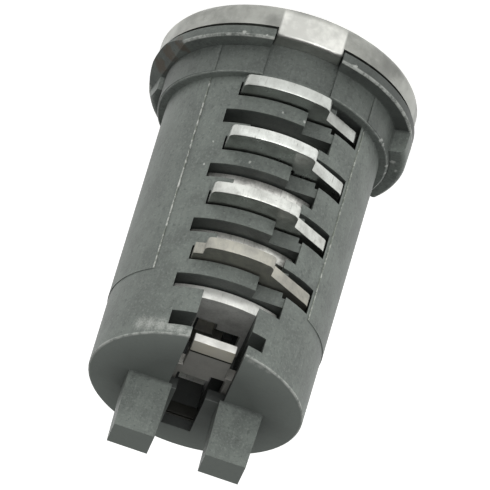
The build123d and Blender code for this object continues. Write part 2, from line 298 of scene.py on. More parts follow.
@dataclass(frozen=True)
class ZincCasting:
    """Zinc alloy, pressure die cast and handled for years: a dull cool grey skin with painted shade in its
    slots.
    """

    name: str = "die_cast_zinc"
    skin: str = "#6a706b"
    skin_dark: str = "#5d625e"
    skin_light: str = "#828883"
    pore: str = "#474b48"
    scraped_and_highlight: str = "#a3a6a1"
    shade_tone: str = "#2b2d2c"
    burnt: str = "#564b3f"
    # Sizes of the patterns; the real sand and pores are finer, and are drawn as coarse as they need to show.
    cloud_mm: float = 1.9
    sand_mm: float = 0.16
    pore_mm: float = 0.24
    draw_mm: float = 0.20
    chip_mm: float = 0.5
    stain_mm: float = 0.5
    rub_mm: float = 0.12
    # Radii and heights of the casting's edges.
    slot_floor_mm: float = 4.9
    slot_lip_mm: float = 6.6
    barrel_mm: float = 6.78
    rim_mm: float = 7.45
    rim_low_mm: float = 2.72
    collar_mm: float = 4.74
    tail_mm: float = 23.55
    # Where painted shades and the darkening round the keyway begin and end.
    rim_fade_mm: float = 0.25
    tail_fade_mm: float = 0.03
    collar_fade_mm: float = 0.2
    lug_side_mm: tuple[float, float] = (2.0, -6.0)
    tang_root_mm: tuple[float, float] = (0.3, 0.1)
    keyway_dark_mm: tuple[float, float] = (6.4, 3.6)
    # Shares of painted shade, painted light on the tail, stains, and rubs with painted highlight.
    slot_shade: float = 0.88
    slot_wall_shade: float = 0.62
    rim_shade: float = 0.24
    lug_side_shade: float = 0.42
    collar_shade: float = 0.34
    tail_shade: float = 0.45
    tail_light: float = 0.75
    stain_share: float = 0.7
    rub_and_glint_share: float = 0.85
    rings: tuple[EdgeRing, ...] = ()
    scrapes: tuple[Spot, ...] = ()
    rubs_and_glint: tuple[Spot, ...] = ()
    stains: tuple[Spot, ...] = ()

    def bare_skin(self, s: Shading, sand: bpy.types.Node) -> bpy.types.Node:
        """Colour the skin as the die left it.

        Args:
            s: shading that takes the nodes.
            sand: noise of the die's sandy face.

        Returns:
            The node that gives the colour.
        """
        # Large soft clouds keep the skin from looking painted.
        cloud = s.add(
            "TexNoise", {"Vector": s.mm, "Scale": 1 / self.cloud_mm, "Detail": 4.0, "Roughness": 0.6}
        )
        clouds = {"Value": cloud, "From Min": 0.36, "From Max": 0.64}
        cloudy = s.add("MapRange", clouds, interpolation_type="SMOOTHSTEP")
        tone = s.add("Mix", {"Factor": cloudy, "A": self.skin_dark, "B": self.skin}, data_type="RGBA")
        # Fine sand of the die's face gives the dull sparkle.
        sandy = s.add("MapRange", {"Value": sand, "From Min": 0.50, "From Max": 0.80, "To Max": 0.8})
        tone = s.add("Mix", {"Factor": sandy, "A": tone, "B": self.skin_light}, data_type="RGBA")
        # Pores of the casting are a little darker than the skin.
        pores = s.add(
            "TexNoise", {"Vector": s.mm, "Scale": 1 / self.pore_mm, "Detail": 4.0, "Roughness": 0.7}
        )
        porous = s.add("MapRange", {"Value": pores, "From Min": 0.46, "From Max": 0.30, "To Max": 0.7})
        tone = s.add("Mix", {"Factor": porous, "A": tone, "B": self.pore}, data_type="RGBA")
        # Draw marks of the die run along the plug.
        drawn_out = s.add("VectorMath", {0: s.mm, 1: (1.0, 1.0, 0.07)}, operation="MULTIPLY")
        drawn = s.add("TexNoise", {"Vector": drawn_out, "Scale": 1 / self.draw_mm, "Detail": 2.0})
        marks = s.add("MapRange", {"Value": drawn, "From Min": 0.60, "From Max": 0.82, "To Max": 0.28})
        return s.add("Mix", {"Factor": marks, "A": tone, "B": self.skin_light}, data_type="RGBA")

    def shaded_and_stained(self, s: Shading, tone: bpy.types.Node) -> bpy.types.Node:
        """Paint shade into the slots, under the rim and on the collar, and lay stains on the trimmed flat.

        Args:
            s: shading that takes the nodes.
            tone: colour of the skin.

        Returns:
            The node that gives the shaded and stained colour.
        """
        radius = s.radius()
        height = s.along("Z")
        # Painted shade darkens the slots and pockets towards their floors, but not the tail and its tangs.
        inside = s.add("Math", {0: height, 1: self.tail_mm}, operation="LESS_THAN")
        deep = s.add(
            "MapRange",
            {
                "Value": radius,
                "From Min": self.slot_lip_mm,
                "From Max": self.slot_floor_mm,
                "To Max": self.slot_shade,
            },
        )
        slot_shading = s.add("Math", {0: deep, 1: inside}, operation="MULTIPLY")
        # Painted shade is deepest on the slot walls that face the tail.
        in_slot = s.add(
            "MapRange",
            {
                "Value": radius,
                "From Min": self.barrel_mm,
                "From Max": self.slot_lip_mm,
                "To Max": self.slot_wall_shade,
            },
        )
        wall = s.add("Math", {0: s.facing_tail(), 1: in_slot}, operation="MULTIPLY")
        wall = s.add("Math", {0: wall, 1: inside}, operation="MULTIPLY")
        slot_shading = s.add("Math", {0: slot_shading, 1: wall}, operation="MAXIMUM")
        tone = s.add("Mix", {"Factor": slot_shading, "A": tone, "B": self.shade_tone}, data_type="RGBA")
        # Painted shadow on the rim's sides and in the corner under the rim, where the cap shades them.
        outer = s.add("Math", {0: radius, 1: self.rim_mm}, operation="GREATER_THAN")
        low = self.rim_low_mm
        under = s.add("MapRange", {"Value": height, "From Min": low + self.rim_fade_mm, "From Max": low})
        under_rim_shadow = s.add("Math", {0: outer, 1: under}, operation="MULTIPLY")
        # The rim is darker still towards its lug, on the side of -X.
        start, full = self.lug_side_mm
        near_lug = s.add(
            "MapRange",
            {"Value": s.along("X"), "From Min": start, "From Max": full, "To Max": self.lug_side_shade},
        )
        rim_darkness = s.add("Math", {0: near_lug, 1: self.rim_shade}, operation="ADD")
        # Painted shade on the collar inside the rim, below the collar's top, where the flange shades it.
        inner = s.add("Math", {0: radius, 1: self.rim_mm}, operation="LESS_THAN")
        top = self.collar_mm
        collar = s.add("MapRange", {"Value": height, "From Min": top, "From Max": top - self.collar_fade_mm})
        collar = s.add("Math", {0: collar, 1: inner}, operation="MULTIPLY")
        shade = s.add("Math", {0: collar, 1: self.collar_shade}, operation="MULTIPLY")
        shade = s.add("Math", {0: under_rim_shadow, 1: rim_darkness, 2: shade}, operation="MULTIPLY_ADD")
        tone = s.add("Mix", {"Factor": shade, "A": tone, "B": self.shade_tone}, data_type="RGBA")
        stains = s.torn_spots(self.stains, self.stain_mm)
        stain = s.add("Math", {0: stains, 1: self.stain_share}, operation="MULTIPLY")
        return s.add("Mix", {"Factor": stain, "A": tone, "B": self.burnt}, data_type="RGBA")

    def tail_light_and_rubs(self, s: Shading, tone: bpy.types.Node) -> bpy.types.Node:
        """Lighten the tail's end as painted light, darken it round the keyway, and rub its edge, partly as
        painted highlight.

        Args:
            s: shading that takes the nodes.
            tone: colour of the shaded and stained skin.

        Returns:
            The node that gives the colour with the tail's painted light and rubs.
        """
        height = s.along("Z")
        end = self.tail_mm
        # Painted light: the faces that look at the tail are made lighter.
        tail = s.add("MapRange", {"Value": height, "From Min": end, "From Max": end + self.tail_fade_mm})
        faces = s.add("Math", {0: tail, 1: s.facing_tail()}, operation="MULTIPLY")
        tail_lit = s.add("Math", {0: faces, 1: self.tail_light}, operation="MULTIPLY")
        tone = s.add("Mix", {"Factor": tail_lit, "A": tone, "B": self.skin_light}, data_type="RGBA")
        # The end is darker towards the keyway, away from the tangs' roots.
        above, below = self.tang_root_mm
        off_tangs = s.add("MapRange", {"Value": height, "From Min": end + above, "From Max": end + below})
        start, full = self.keyway_dark_mm
        middle = s.add(
            "MapRange", {"Value": s.radius(), "From Min": start, "From Max": full, "To Max": self.tail_shade}
        )
        on_end = s.add("Math", {0: tail, 1: off_tangs}, operation="MULTIPLY")
        keyway_dark = s.add("Math", {0: on_end, 1: middle}, operation="MULTIPLY")
        tone = s.add("Mix", {"Factor": keyway_dark, "A": tone, "B": self.shade_tone}, data_type="RGBA")
        # Rubs on the tail's edge, with painted highlight on its right front.
        rubs_and_glint = s.torn_spots(self.rubs_and_glint, self.rub_mm, 0.9)
        highlight_and_rub = s.add("Math", {0: rubs_and_glint, 1: self.rub_and_glint_share}, operation="MULTIPLY")
        return s.add("Mix", {"Factor": highlight_and_rub, "A": tone, "B": self.scraped_and_highlight}, data_type="RGBA")

    def knocks_and_highlight(self, s: Shading) -> bpy.types.Node:
        """Mask that is 1 where the round edges show knocks and painted highlight, and where the scraped
        spots are bright.

        Args:
            s: shading that takes the nodes.

        Returns:
            The node that gives the mask, from 0 to 1.
        """
        radius = s.radius()
        height = s.along("Z")
        chips = s.add(
            "TexNoise", {"Vector": s.mm, "Scale": 1 / self.chip_mm, "Detail": 5.0, "Roughness": 0.75}
        )
        chipped = s.add("MapRange", {"Value": chips, "From Min": 0.40, "From Max": 0.56, "To Min": 0.15})
        bright = s.torn_spots(self.scrapes)
        for ring in self.rings:
            aside = s.add("Math", {0: radius, 1: ring.radius}, operation="SUBTRACT")
            above = s.add("Math", {0: height, 1: ring.height}, operation="SUBTRACT")
            apart = s.add("CombineXYZ", {"X": aside, "Y": above})
            away = s.add("VectorMath", {0: apart}, operation="LENGTH")
            on_edge = s.add("MapRange", {"Value": away, "From Min": ring.width, "From Max": ring.width / 2})
            band = s.add("Math", {0: on_edge, 1: chipped}, operation="MULTIPLY")
            bright = s.add("Math", {0: bright, 1: band}, operation="MAXIMUM")
        return bright

    def build(self) -> bpy.types.Material:
        """Make the material.

        Returns:
            The finished material.
        """
        s = Shading(self.name)
        sand = s.add(
            "TexNoise", {"Vector": s.mm, "Scale": 1 / self.sand_mm, "Detail": 3.0, "Roughness": 0.65}
        )
        tone = self.tail_light_and_rubs(s, self.shaded_and_stained(s, self.bare_skin(s, sand)))
        # Knocks and painted highlight on the round edges, and the scraped spots.
        tone = s.add("Mix", {"Factor": self.knocks_and_highlight(s), "A": tone, "B": self.scraped_and_highlight}, data_type="RGBA")
        dent_scale = 1 / (4 * self.sand_mm)
        dents = s.add("TexNoise", {"Vector": s.mm, "Scale": dent_scale, "Detail": 3.0, "Roughness": 0.6})
        waves = s.add("Bump", {"Height": dents, "Distance": 0.035 * MM, "Strength": 0.4})
        grain = s.add("Bump", {"Height": sand, "Distance": 0.018 * MM, "Strength": 0.5, "Normal": waves})
        rough = s.add(
            "MapRange", {"Value": sand, "From Min": 0.3, "From Max": 0.8, "To Min": 0.46, "To Max": 0.60}
        )
        return s.finish(
            Base_Color=tone, Metallic=0.2, Roughness=rough, Specular_IOR_Level=0.4, Normal=grain
        )


@dataclass(frozen=True)
class EdgeWearAndHighlight:
    """Metal laid bare along an edge: light where it was knocked or trimmed, and the skin's tone between; the
    light line also paints the highlight that the edge catches.
    """

    name: str
    bare: str
    skin: str
    share: float = 0.5
    chip_mm: float = 0.45
    bright_heights: tuple[float, ...] = ()
    bright_half_mm: float = 0.14
    bright_gain: float = 0.14

    def build(self) -> bpy.types.Material:
        """Make the material.

        Returns:
            The finished material.
        """
        s = Shading(self.name)
        # Chips of uneven length break the light line along an edge.
        chips = s.add(
            "TexNoise", {"Vector": s.mm, "Scale": 1 / self.chip_mm, "Detail": 5.0, "Roughness": 0.75}
        )
        # The noise lies round a half, so a larger share of bare metal puts the limit lower.
        middle = 0.62 - 0.24 * self.share
        # The edges at these heights are made brighter: painted highlight on the casting's rim and tail,
        # knocks on the flash ridges.
        height = s.along("Z")
        wear = chips
        for place in self.bright_heights:
            near = s.add("Math", {0: height, 1: place, 2: self.bright_half_mm}, operation="COMPARE")
            wear = s.add("Math", {0: near, 1: self.bright_gain, 2: wear}, operation="MULTIPLY_ADD")
        bare = s.add("MapRange", {"Value": wear, "From Min": middle - 0.05, "From Max": middle + 0.07})
        tone = s.add("Mix", {"Factor": bare, "A": self.skin, "B": self.bare}, data_type="RGBA")
        nicks = s.add("Bump", {"Height": chips, "Distance": 0.03 * MM, "Strength": 0.6})
        return s.finish(Base_Color=tone, Metallic=0.8, Roughness=0.38, Normal=nicks)


@dataclass(frozen=True)
class PressedStainless:
    """Stainless sheet, pressed and brushed: a satin grey that keeps soft highlights along the skirt."""

    name: str = "pressed_stainless"
    base: str = "#a3a49f"
    dull: str = "#858682"
    scratch: str = "#c8c9c4"
    highlight_and_rub: str = "#e2e2dd"
    shade_patch_tone: str = "#6c6d69"
    shade_spots: tuple[Spot, ...] = ()
    shade_share: float = 0.75
    tab_half_mm: float = 0.0
    tab_edge_mm: float = 0.12
    tab_highlight_mm: tuple[float, float] = (0.20, 0.75)
    shade_spot_mm: float = 0.9
    # Real brushing is finer; this one is drawn as coarse as it needs to show.
    grain_mm: float = 0.20
    cloud_mm: float = 2.2

    def build(self) -> bpy.types.Material:
        """Make the material.

        Returns:
            The finished material.
        """
        s = Shading(self.name)
        # Handling leaves the sheet mottled.
        cloud = s.add(
            "TexNoise", {"Vector": s.mm, "Scale": 1 / self.cloud_mm, "Detail": 5.0, "Roughness": 0.6}
        )
        clouds = {"Value": cloud, "From Min": 0.36, "From Max": 0.66}
        mottle = s.add("MapRange", clouds, interpolation_type="SMOOTHSTEP")
        tone = s.add("Mix", {"Factor": mottle, "A": self.base, "B": self.dull}, data_type="RGBA")
        # Painted shade: a darker patch beside the tab, towards the lug.
        patches = s.torn_spots(self.shade_spots, self.shade_spot_mm, 1.6)
        patch = s.add("Math", {0: patches, 1: self.shade_share}, operation="MULTIPLY")
        tone = s.add("Mix", {"Factor": patch, "A": tone, "B": self.shade_patch_tone}, data_type="RGBA")
        # Brushing runs round the skirt, so its grain is fine across the height and long round it.
        round_it = s.add("VectorMath", {0: s.mm, 1: (0.25, 0.25, 4.0)}, operation="MULTIPLY")
        brushed = s.add(
            "TexNoise", {"Vector": round_it, "Scale": 1 / self.grain_mm, "Detail": 3.0, "Roughness": 0.7}
        )
        hair = s.add("MapRange", {"Value": brushed, "From Min": 0.64, "From Max": 0.82, "To Max": 0.5})
        tone = s.add("Mix", {"Factor": hair, "A": tone, "B": self.scratch}, data_type="RGBA")
        # Painted highlight: the tab at the front is made brighter where it catches the light.
        side = s.add("Math", {0: s.along("X")}, operation="ABSOLUTE")
        half = self.tab_half_mm
        on_tab = s.add("MapRange", {"Value": side, "From Min": half, "From Max": half - self.tab_edge_mm})
        front = s.add("Math", {0: s.along("Y"), 1: -half}, operation="LESS_THAN")
        start, full = self.tab_highlight_mm
        below = s.add("MapRange", {"Value": s.along("Z"), "From Min": start, "From Max": full})
        patchy = {"Value": cloud, "From Min": 0.40, "From Max": 0.60, "To Min": 1.0, "To Max": 0.55}
        tab_highlight = s.add("Math", {0: on_tab, 1: front}, operation="MULTIPLY")
        tab_highlight = s.add("Math", {0: tab_highlight, 1: below}, operation="MULTIPLY")
        tab_highlight = s.add("Math", {0: tab_highlight, 1: s.add("MapRange", patchy)}, operation="MULTIPLY")
        tone = s.add("Mix", {"Factor": tab_highlight, "A": tone, "B": self.highlight_and_rub}, data_type="RGBA")
        waves = s.add("Bump", {"Height": cloud, "Distance": 0.02 * MM, "Strength": 0.3})
        grain = s.add("Bump", {"Height": brushed, "Distance": 0.005 * MM, "Strength": 0.5, "Normal": waves})
        rough = s.add(
            "MapRange", {"Value": cloud, "From Min": 0.3, "From Max": 0.7, "To Min": 0.32, "To Max": 0.46}
        )
        return s.finish(Base_Color=tone, Metallic=1.0, Roughness=rough, Normal=grain)


@dataclass(frozen=True)
class NickelPlate:
    """Brass strip, punched and nickel plated: silver whose sheared edges keep fine tears across them."""

    name: str
    base: str = "#c9c9c6"
    dull: str = "#8e8e8a"
    tear_and_ear_shade: str = "#55554f"
    grease_and_shade: str = "#24241f"
    brass: str = "#c6c1b0"
    polished: str = "#e6e6e1"
    ear_shade: float = 0.20
    wear: float = 0.35
    rough: float = 0.30
    metal: float = 1.0
    # Real tears are finer; these are drawn as coarse as they need to show.
    tear_mm: float = 0.12
    cloud_mm: float = 0.9
    # Half widths of the crown and the ear's start, and the places that only the retainer has.
    crown_half_mm: float = 2.2
    ear_start_mm: float = 2.7
    window_half_mm: float = 1.6
    window_shade_mm: float = 99.0
    bevel_mm: float = 99.0
    foot_mm: float = 0.05
    foot_half_mm: float = 0.09

    def build(self) -> bpy.types.Material:
        """Make the material.

        Returns:
            The finished material.
        """
        s = Shading(self.name)
        # Plating worn thin shows in patches about as wide as the plate is thick.
        cloud = s.add(
            "TexNoise", {"Vector": s.mm, "Scale": 1 / self.cloud_mm, "Detail": 5.0, "Roughness": 0.65}
        )
        thin = s.add("MapRange", {"Value": cloud, "From Min": 0.42, "From Max": 0.68, "To Max": self.wear})
        tone = s.add("Mix", {"Factor": thin, "A": self.base, "B": self.dull}, data_type="RGBA")
        # Punching tears the edge along the plate's thickness, which is the plug's Z.
        across = s.add("VectorMath", {0: s.mm, 1: (1.0, 1.0, 0.14)}, operation="MULTIPLY")
        torn = s.add(
            "TexNoise", {"Vector": across, "Scale": 1 / self.tear_mm, "Detail": 3.0, "Roughness": 0.6}
        )
        tears = s.add(
            "MapRange", {"Value": torn, "From Min": 0.58, "From Max": 0.80, "To Max": 0.2 + self.wear}
        )
        tone = s.add("Mix", {"Factor": tears, "A": tone, "B": self.dull}, data_type="RGBA")
        pits = s.add("TexNoise", {"Vector": s.mm, "Scale": 1 / self.tear_mm, "Detail": 2.0})
        pitted = s.add("MapRange", {"Value": pits, "From Min": 0.66, "From Max": 0.78, "To Max": 0.6})
        tone = s.add("Mix", {"Factor": pitted, "A": tone, "B": self.tear_and_ear_shade}, data_type="RGBA")
        # The tongue's tip is polished, and its bevel is rubbed through to the brass.
        depth = s.along("Y")
        tip = s.add("Math", {0: depth, 1: -self.bevel_mm}, operation="LESS_THAN")
        patchy = {"Value": cloud, "From Min": 0.35, "From Max": 0.6, "To Min": 0.95, "To Max": 0.6}
        polish = s.add("Math", {0: tip, 1: s.add("MapRange", patchy)}, operation="MULTIPLY")
        tone = s.add("Mix", {"Factor": polish, "A": tone, "B": self.polished}, data_type="RGBA")
        bare = s.add("Math", {0: polish, 1: s.facing_tail()}, operation="MULTIPLY")
        tone = s.add("Mix", {"Factor": bare, "A": tone, "B": self.brass}, data_type="RGBA")
        # A line of old grease lies at the bevel's foot, and the window beyond the keyway is darkened in the
        # same colour as painted shade.
        foot_y = -self.foot_mm - self.bevel_mm
        foot = s.add("Math", {0: depth, 1: foot_y, 2: self.foot_half_mm}, operation="COMPARE")
        half = self.window_half_mm
        beyond = s.add("Math", {0: depth, 1: self.window_shade_mm + half, 2: half}, operation="COMPARE")
        grease_and_shade_mask = s.add("Math", {0: foot, 1: beyond}, operation="MAXIMUM")
        tone = s.add("Mix", {"Factor": grease_and_shade_mask, "A": tone, "B": self.grease_and_shade}, data_type="RGBA")
        # Painted shade darkens the ears, which lie lower than the crowns.
        side = s.add("Math", {0: s.along("X")}, operation="ABSOLUTE")
        crown, ear = self.crown_half_mm, self.ear_start_mm
        on_ear = s.add(
            "MapRange", {"Value": side, "From Min": crown, "From Max": ear, "To Max": self.ear_shade}
        )
        tone = s.add("Mix", {"Factor": on_ear, "A": tone, "B": self.tear_and_ear_shade}, data_type="RGBA")
        lines = s.add("Bump", {"Height": torn, "Distance": 0.012 * MM, "Strength": 0.5})
        holes = s.add("Bump", {"Height": pits, "Distance": 0.008 * MM, "Strength": 0.4, "Normal": lines})
        low, high = self.rough - 0.06, self.rough + 0.1
        rough = s.add(
            "MapRange", {"Value": cloud, "From Min": 0.3, "From Max": 0.7, "To Min": low, "To Max": high}
        )
        return s.finish(Base_Color=tone, Metallic=self.metal, Roughness=rough, Normal=holes)


@dataclass(frozen=True)
class DrawnWire:
    """Spring steel wire, drawn and oiled: smooth grey with fine marks along the wire."""

    name: str = "drawn_spring_wire"
    base: str = "#8d8f90"
    dark: str = "#55585a"
    cloud_mm: float = 0.35

    def build(self) -> bpy.types.Material:
        """Make the material.

        Returns:
            The finished material.
        """
        s = Shading(self.name)
        # The oil film darkens the wire here and there.
        cloud = s.add(
            "TexNoise", {"Vector": s.mm, "Scale": 1 / self.cloud_mm, "Detail": 3.0, "Roughness": 0.6}
        )
        film = s.add("MapRange", {"Value": cloud, "From Min": 0.4, "From Max": 0.7})
        tone = s.add("Mix", {"Factor": film, "A": self.base, "B": self.dark}, data_type="RGBA")
        marks = s.add("Bump", {"Height": cloud, "Distance": 0.006 * MM, "Strength": 0.5})
        rough = s.add(
            "MapRange", {"Value": cloud, "From Min": 0.3, "From Max": 0.7, "To Min": 0.25, "To Max": 0.42}
        )
        return s.finish(Base_Color=tone, Metallic=1.0, Roughness=rough, Normal=marks)


# ---------------------------------------------------------------- pieces


@dataclass
class WorkedCopy:
    """A solid of the frame with its edges broken, as tumbling or plating leaves them.

    The faces of the broken edges take material number 1, so that an edge can look worn.
    """

    node: str
    name: str
    body: str
    slot: Slot
    edge_mm: float = 0.05
    segments: int = 2
    angle: float = 32.0
    merge_mm: float = 0.002
    flat_angle: float = 0.6

    def build(self) -> bpy.types.Object:
        """Copy the node, merge it and round its edges.

        Returns:
            The new piece, which replaces the node.
        """
        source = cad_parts[self.node]
        piece = source.copy()
        piece.data = source.data.copy()
        piece.name = self.name
        piece.data.name = self.name
        for key in [k for k in piece.keys() if k.startswith("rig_")]:
            del piece[key]
        piece.parent = None
        bpy.context.scene.collection.objects.link(piece)
        activate(piece)
        if piece.data.has_custom_normals:
            bpy.ops.mesh.customdata_custom_splitnormals_clear()
        bpy.ops.object.mode_set(mode="EDIT")
        bpy.ops.mesh.select_all(action="SELECT")
        bpy.ops.mesh.remove_doubles(threshold=self.merge_mm * MM)
        bpy.ops.mesh.dissolve_limited(angle_limit=math.radians(self.flat_angle))
        bpy.ops.object.mode_set(mode="OBJECT")
        for number in range(2):
            if len(piece.data.materials) < number + 1:
                piece.data.materials.append(piece.data.materials[0] if piece.data.materials else None)
        apply_modifier(
            piece,
            "BEVEL",
            width=self.edge_mm * MM,
            segments=self.segments,
            limit_method="ANGLE",
            angle_limit=math.radians(self.angle),
            use_clamp_overlap=True,
            miter_outer="MITER_ARC",
            material=1,
        )
        activate(piece)
        bpy.ops.object.shade_smooth_by_angle(angle=math.radians(self.angle))
        apply_modifier(piece, "WEIGHTED_NORMAL", keep_sharp=True, weight=100)
        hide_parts(self.node)
        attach(piece, self.body)
        return piece


def wound_wire(name: str, wire_r: float, coil_r: float, turns: float, length: float) -> bpy.types.Object:
    """Wind round wire about the Y axis, from the origin towards +Y, with flat closed ends.

    Args:
        name: name of the piece.
        wire_r: radius of the wire in mm.
        coil_r: radius of the coil's centre line in mm.
        turns: number of turns.
        length: distance in mm between the centres of the two ends.

    Returns:
        The coil.
    """
    steps = int(TURN_STEPS * turns)
    deselect_all()
    bpy.ops.mesh.primitive_circle_add(
        vertices=WIRE_SIDES, radius=wire_r * MM, location=(coil_r * MM, 0, 0)
    )
    coil = bpy.context.object
    coil.name = name
    apply_place(coil)
    apply_modifier(
        coil,
        "SCREW",
        axis="Y",
        angle=2 * math.pi * turns,
        screw_offset=length * MM,
        steps=steps,
        render_steps=steps,
        use_smooth_shade=True,
        use_merge_vertices=True,
    )
    bpy.ops.object.mode_set(mode="EDIT")
    bpy.ops.mesh.select_all(action="SELECT")
    bpy.ops.mesh.fill_holes(sides=WIRE_SIDES)
    bpy.ops.mesh.normals_make_consistent(inside=False)
    bpy.ops.object.mode_set(mode="OBJECT")
    return coil


@dataclass
class CoilSpring:
    """Compression spring of round wire under a wafer's ear."""

    node: str
    name: str
    joint: str
    way: int
    travel_mm: float
    wire_r: float = 0.13
    coil_r: float = 0.60
    turns: float = 6.5

    def build(self) -> bpy.types.Object:
        """Wind the spring between the ends of its solid.

        Returns:
            The new piece, which replaces the node.
        """
        low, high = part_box(self.node)
        centre = (low + high) / 2
        whole = high.y - low.y
        piece = wound_wire(self.name, self.wire_r, self.coil_r, self.turns, whole / MM - 2 * self.wire_r)
        piece.location = (centre.x, low.y + self.wire_r * MM, centre.z)
        apply_place(piece)
        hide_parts(self.node)
        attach(piece, "plug")
        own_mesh(piece)
        return piece


@dataclass
class TorsionSpring:
    """Spring of the dust shutter: a coil round the pin, a leg on the wall and a leg on the leaf."""

    wire_r: float = 0.055
    coil_r: float = 0.36
    coil_half: float = 0.84
    turns: float = 5.25

    def leg(self, name: str, start: Vector, end: Vector) -> bpy.types.Object:
        """Lay one straight leg of wire.

        Args:
            name: name of the leg.
            start: its end at the coil, in metres.
            end: its free end, in metres.

        Returns:
            The leg.
        """
        deselect_all()
        bpy.ops.mesh.primitive_cylinder_add(
            vertices=WIRE_SIDES,
            radius=self.wire_r * MM,
            depth=(end - start).length,
            location=(start + end) / 2,
            rotation=(end - start).to_track_quat("Z", "Y").to_euler(),
        )
        leg = bpy.context.object
        leg.name = name
        apply_place(leg)
        bpy.ops.object.shade_smooth_by_angle(angle=math.radians(40))
        return leg

    def build(self) -> list[bpy.types.Object]:
        """Wind the coil and lay its legs.

        Returns:
            The coil, the leg on the wall and the leg that turns with the leaf.
        """
        pin_low, pin_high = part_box("shutter_pin")
        pin = (pin_low + pin_high) / 2
        low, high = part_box("shutter_spring")
        coil = wound_wire("torsion_coil", self.wire_r, self.coil_r, self.turns, 2 * self.coil_half)
        coil.location = (pin.x, pin.y - self.coil_half * MM, pin.z)
        apply_place(coil)
        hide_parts("shutter_spring")
        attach(coil, "plug")
        wire = self.wire_r * MM
        start_y, end_y = pin.y - self.coil_half * MM, pin.y + self.coil_half * MM
        wall = self.leg(
            "torsion_wall_leg",
            Vector((pin.x + self.coil_r * MM, start_y, pin.z)),
            Vector((high.x - wire, start_y, high.z)),
        )
        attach(wall, "plug")
        leaf_low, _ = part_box("dust_shutter")
        leaf = self.leg(
            "torsion_leaf_leg",
            Vector((pin.x - self.coil_r * MM, end_y, pin.z)),
            Vector((low.x, end_y, leaf_low.z + LEAF_MM * MM + wire)),
        )
        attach(leaf, "shutter")
        return [coil, wall, leaf]


@dataclass
class PartingFlash:
    """Thin ragged ridge that the die left along the plug, at the meeting of its halves."""

    name: str
    angle: float
    radius: float
    low_z: float
    high_z: float
    width: float = 0.12
    rise: float = 0.07
    ragged: float = 0.6
    voxel: float = 0.03
    lump: float = 0.28
    end_inset: float = 0.012

    def build(self) -> bpy.types.Object:
        """Lay the ridge on the casting and make it ragged.

        Returns:
            The ridge.
        """
        deselect_all()
        height = self.high_z - self.low_z
        middle = polar(self.radius, self.angle, (self.low_z + self.high_z) / 2) * MM
        bpy.ops.mesh.primitive_cylinder_add(
            vertices=6,
            radius=self.width / 2 * MM,
            depth=height * MM,
            rotation=(0, 0, math.radians(self.angle)),
        )
        ridge = bpy.context.object
        ridge.name = self.name
        ridge.scale.x = self.rise / self.width * 2
        apply_place(ridge)
        bpy.ops.object.mode_set(mode="EDIT")
        bpy.ops.mesh.select_all(action="SELECT")
        bpy.ops.mesh.inset(thickness=self.end_inset * MM, depth=0)
        bpy.ops.mesh.select_all(action="SELECT")
        bpy.ops.mesh.subdivide(number_cuts=2)
        bpy.ops.object.mode_set(mode="OBJECT")
        apply_modifier(ridge, "REMESH", mode="VOXEL", voxel_size=self.voxel * MM, use_smooth_shade=True)
        texture = bpy.data.textures.new(self.name, "CLOUDS")
        texture.noise_scale = self.lump * MM
        apply_modifier(
            ridge, "DISPLACE", texture=texture, strength=self.rise * self.ragged * MM, mid_level=0.5
        )
        ridge.location = middle
        apply_place(ridge)
        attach(ridge, "plug")
        return ridge


# ---------------------------------------------------------------- camera and light


